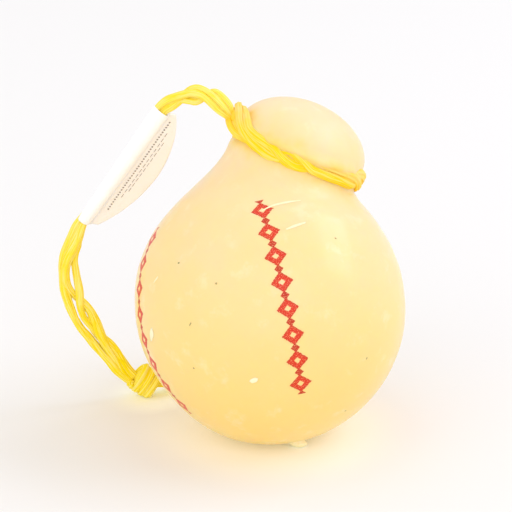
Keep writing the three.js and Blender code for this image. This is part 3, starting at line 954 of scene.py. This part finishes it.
# Paper folded over the braid, its halves stuck together beyond it.
label = {
    "length": 78,
    "endWidth": 11,
    "middleWidth": 26.4,
    "side": Vector((0.63, 0.65, -0.43)),
    "sleeve": [(0, 4.7, 2.8), (12, 4.6, 3.0), (40, 4.2, 3.2), (78, 3.4, 3.0)],   # place and halves
    "sleeveShare": 0.36,     # of the paper's width in the mesh
    "sleeveTurn": math.radians(145),
    "seam": 1.2,             # mm from the sleeve to where the halves meet
    "thickness": 0.25,
    "columns": 60,
    "rows": 56,
    "bow": 1.3,
    "waves": 0.35,
}
labelTop, labelBottom = Vector(braid["route"][7]), Vector(braid["route"][11])
labelDown = (labelBottom - labelTop).normalized()
labelSide = (label["side"] - labelDown * label["side"].dot(labelDown)).normalized()
labelFace = labelDown.cross(labelSide)
if labelFace.dot(braid["front"]) < 0:
    labelFace = -labelFace


def nearestDistance(point):
    count = 600
    nearest = min(range(count + 1), key=lambda i: (braidCurve(i / count) - point).length)
    return nearest * braidLength / count


braidLabelAt = nearestDistance(labelTop)


def flapWidth(down):
    half = label["length"] / 2
    bulge = label["middleWidth"] - label["endWidth"]
    radius = (half ** 2 + bulge ** 2) / (2 * bulge)
    return label["endWidth"] + math.sqrt(radius ** 2 - (down - half) ** 2) - (radius - bulge)


# A point of the paper: turn runs from -1 at the front half's free edge to 1 at the back half's.
def onLabel(turn, down, lift=0.0):
    middle = labelTop + labelDown * down
    wide, deep = between(label["sleeve"], down)
    _, across, out = braidFrame(braidLabelAt + down)
    share = label["sleeveShare"]
    if abs(turn) < share:
        lean = math.atan2(labelSide.dot(out), labelSide.dot(across))
        angle = lean + math.pi - label["sleeveTurn"] * turn / share
        point = middle + across * (wide + lift) * math.cos(angle)
        return point + out * (deep + lift) * math.sin(angle)
    f = (abs(turn) - share) / (1 - share)
    seam = wide + label["seam"]
    reach = seam + (flapWidth(down) - seam) * f
    apart = (0.14 + 1.9 * max(0, 1 - 6 * f) ** 2 + lift) * (1 if turn < 0 else -1)
    bow = label["bow"] * math.sin(math.pi * down / label["length"]) * f * f
    curl = label["waves"] * noise.noise(Vector((down / 17, f * 1.7, 3.3)))
    return middle + labelSide * reach + labelFace * (apart + bow + curl)


def makeLabel():
    bm = bmesh.new()
    bmesh.ops.create_grid(bm, x_segments=label["columns"], y_segments=label["rows"], size=1)
    for vert in bm.verts:
        vert.co = onLabel(vert.co.x, (vert.co.y + 1) / 2 * label["length"])
    bmesh.ops.recalc_face_normals(bm, faces=bm.faces)
    piece = finishPiece("foldedLabel", bm, paperMaterial)
    solid = piece.modifiers.new("paper thickness", "SOLIDIFY")
    solid.thickness = label["thickness"] * mm
    solid.offset = 0
    return piece


# Plain rows of even dashes along the fold.
labelMarks = {
    # mm from the fold, first and last place, height, length and gap
    "rows": [(10.2, 5, 69, 1.1, 0.8, 0.9), (13.4, 12, 62, 0.35, 2.4, 1.2), (15.4, 18, 56, 0.35, 2.4, 1.2)],
    "lift": 0.3,
    "thickness": 0.05,
}


def makeLabelMarks():
    bm = bmesh.new()
    for reach, first, last, height, length, gap in labelMarks["rows"]:
        count = int((last - first) / (length + gap))
        for i in range(count):
            verts = bmesh.ops.create_grid(bm, x_segments=1, y_segments=1, size=0.5)["verts"]
            for vert in verts:
                place = first + i * (length + gap) + (vert.co.y + 0.5) * length
                across = reach + vert.co.x * height
                seam = between(label["sleeve"], place)[0] + label["seam"]
                f = (across - seam) / (flapWidth(place) - seam)
                share = label["sleeveShare"]
                vert.co = onLabel(-(share + (1 - share) * f), place, labelMarks["lift"])
    bmesh.ops.recalc_face_normals(bm, faces=bm.faces)
    piece = finishPiece("labelMarks", bm, inkMaterial, smooth=False)
    solid = piece.modifiers.new("ink thickness", "SOLIDIFY")
    solid.thickness = labelMarks["thickness"] * mm
    return piece


labelPiece = makeLabel()
marksPiece = makeLabelMarks()
for piece in (labelPiece, marksPiece):
    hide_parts("label")
print("label ready")

[tuple(braidCurve(i / 120) * mm) for i in range(121)]

# The cheese.
cheeseShape = cheeseMesh()
skinTree = BVHTree.FromBMesh(cheeseShape)
cheesePiece = finishPiece("waxedCheese", cheeseShape, rindMaterial)
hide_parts("cheese")
print("cheese ready")

# Small things in the wax, placed by direction from the bulb's middle: degrees round and above it.
waxBits = {
    # direction, half length, half width and half thickness in mm, and degrees that it is turned
    "crumbs": [(-96.7, -8.6, 2.1, 1.3, 0.3, 25), (-148.6, 0.4, 3.9, 1.7, 0.3, 78),
               (-151.2, 23.4, 2.6, 0.5, 0.2, 60)],
    "pinholes": [(-139.7, 33.7, 0.6, 0.5, 0.12, 0), (-115.5, 29.8, 0.6, 0.45, 0.12, 30),
                 (-124.8, 11.7, 1.2, 0.35, 0.12, 70), (-123.0, -7.0, 0.5, 0.4, 0.12, 0),
                 (-48.7, 46.7, 0.6, 0.4, 0.12, 120), (-46.6, -5.2, 0.7, 0.35, 0.12, 70),
                 (-50.1, -32.0, 0.6, 0.4, 0.12, 10)],
    "wrinkles": [[(-97.4, 63.2), (-88.5, 66.0), (-79.5, 67.3), (-67.5, 67.8), (-56, 67.5)],
                 [(-79.8, 54.1), (-72, 55.6), (-63.5, 56.5)]],
    "wrinkleSize": (0.8, 0.22),
}


# The skin's place and outward direction from the bulb's middle.
def skinTowards(around, above):
    a, b = math.radians(around), math.radians(above)
    ray = Vector((math.cos(a) * math.cos(b), math.sin(a) * math.cos(b), math.sin(b)))
    point, out, _, _ = skinTree.ray_cast(bulbCentre, ray)
    return point, out if out.dot(ray) > 0 else -out


def makeLumps(name, rows, material):
    bm = bmesh.new()
    for i, (around, above, long, wide, thick, turned) in enumerate(rows):
        point, out = skinTowards(around, above)
        up = (Vector((0, 0, 1)) - out * out.z).normalized()
        turn = math.radians(turned)
        lengthwise = up.cross(out) * math.cos(turn) + up * math.sin(turn)
        crosswise = out.cross(lengthwise)
        ball = bmesh.ops.create_uvsphere(bm, u_segments=24, v_segments=14, radius=1)
        for vert in ball["verts"]:
            x, y, z = vert.co * (1 + 0.45 * noise.noise(vert.co * 1.5 + Vector((i * 5.1, 2, 0))))
            vert.co = point + lengthwise * (x * long) + crosswise * (y * wide) + out * (z * thick)
    bmesh.ops.recalc_face_normals(bm, faces=bm.faces)
    return finishPiece(name, bm, material)


# Folds where the dip has set in ripples on the shoulder.
def makeWrinkles():
    bm = newCordMesh()
    wide, thick = waxBits["wrinkleSize"]
    for j, places in enumerate(waxBits["wrinkles"]):
        rows = []
        for i, place in enumerate(places):
            swell = math.sin(math.pi * (i + 0.6) / (len(places) + 0.2))
            rows.append((*skinTowards(*place)[0], wide * swell, thick * swell))
        layRibbon(bm, strandStations(rows, lambda point: point - bulbCentre, 0.8), 10, 5.0 * j)
    bmesh.ops.recalc_face_normals(bm, faces=bm.faces)
    return finishPiece("waxWrinkles", bm, crumbMaterial)


# A drip that has set at the foot.
def makeDrip():
    bm = bmesh.new()
    ball = bmesh.ops.create_icosphere(bm, subdivisions=4, radius=1)
    for vert in ball["verts"]:
        lumpy = 1 + 0.25 * noise.noise(vert.co * 1.3)
        vert.co = drip["middle"] + Vector(a * b * lumpy for a, b in zip(vert.co, drip["size"]))
        vert.co.z = max(vert.co.z, 0)
    bmesh.ops.recalc_face_normals(bm, faces=bm.faces)
    return finishPiece("waxDrip", bm, crumbMaterial)


drip = {"middle": Vector((15.4, -25.6, 2.3)), "size": Vector((5.2, 2.6, 2.4))}
for piece in (makeLumps("waxCrumbs", waxBits["crumbs"], crumbMaterial),
              makeLumps("pinholes", waxBits["pinholes"], speckMaterial), makeWrinkles(), makeDrip()):
    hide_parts("cheese")
print("wax bits ready")

# Floor and light.
studio = {
    "floor": "#F2EFEC",
    # light that has come through the cheese and the cord's knot: middle in mm, from where and to
    # where it fades, and strength
    "glows": [((0, 0, 0), 30, 82, 0.178), ((-60, 42, 0), 5, 36, 0.2)],
    "glowColour": "#F4FFDC",
    "world": 0.9,
    "softbox": {"towards": Vector((0.715, 0.115, 0.67)), "along": Vector((-0.34, 0.665, 0.17)),
                "distance": 4000, "size": (1.7, 3.4), "power": 52, "colour": "#DCE6FF"},
    "front": {"towards": Vector((-0.3, -1, 0.45)), "along": Vector((0, 0, 1)), "distance": 4500,
              "size": (9, 5), "power": 84, "colour": "#FFFFFF"},
}


def makeFloor():
    bm = bmesh.new()
    bmesh.ops.create_grid(bm, x_segments=8, y_segments=8, size=4)
    mesh = bpy.data.meshes.new("floor")
    bm.to_mesh(mesh)
    bm.free()
    floor = bpy.data.objects.new("floor", mesh)
    floor.location.z = -0.0002
    bpy.context.collection.objects.link(floor)
    material = newMaterial("white studio floor")
    place = addNode(material, "TexCoord", output="Object")
    glow = 0.0
    for middle, near, far, strength in studio["glows"]:
        away = addNode(material, "VectorMath", {"operation": "DISTANCE"}, {
            0: place, 1: Vector(middle) * mm}, "Value")
        spot = addNode(material, "MapRange", softly, {
            "Value": away, "From Min": near * mm, "From Max": far * mm, "To Min": strength,
            "To Max": 0.0})
        glow = addNode(material, "Math", {"operation": "MAXIMUM"}, {0: glow, 1: spot})
    paint = addNode(material, "BsdfPrincipled", None, {
        "Base Color": hexColour(studio["floor"]), "Roughness": 0.9,
        "Emission Color": hexColour(studio["glowColour"]), "Emission Strength": glow})
    addNode(material, "OutputMaterial", None, {"Surface": paint})
    mesh.materials.append(material)


def makeLight(name, setup):
    data = bpy.data.lights.new(name, "AREA")
    data.shape = "RECTANGLE"
    data.size, data.size_y = setup["size"]
    data.energy = setup["power"]
    data.color = hexColour(setup["colour"])[:3]
    light = bpy.data.objects.new(name, data)
    towards = setup["towards"].normalized()
    light.location = (bulbCentre + towards * setup["distance"]) * mm
    upright = (setup["along"] - towards * setup["along"].dot(towards)).normalized()
    turned = Matrix((upright.cross(towards), upright, towards)).transposed()
    light.rotation_euler = turned.to_euler()
    bpy.context.collection.objects.link(light)
    return light


def makeStudio():
    makeFloor()
    makeLight("softbox", studio["softbox"])
    makeLight("front light", studio["front"])
    world = bpy.data.worlds.new("white studio")
    world.use_nodes = True
    world.node_tree.nodes["Background"].inputs["Color"].default_value = (1, 1, 1, 1)
    world.node_tree.nodes["Background"].inputs["Strength"].default_value = studio["world"]
    bpy.context.scene.world = world
    bpy.context.scene.view_settings.view_transform = "Standard"


makeStudio()
print("studio ready")
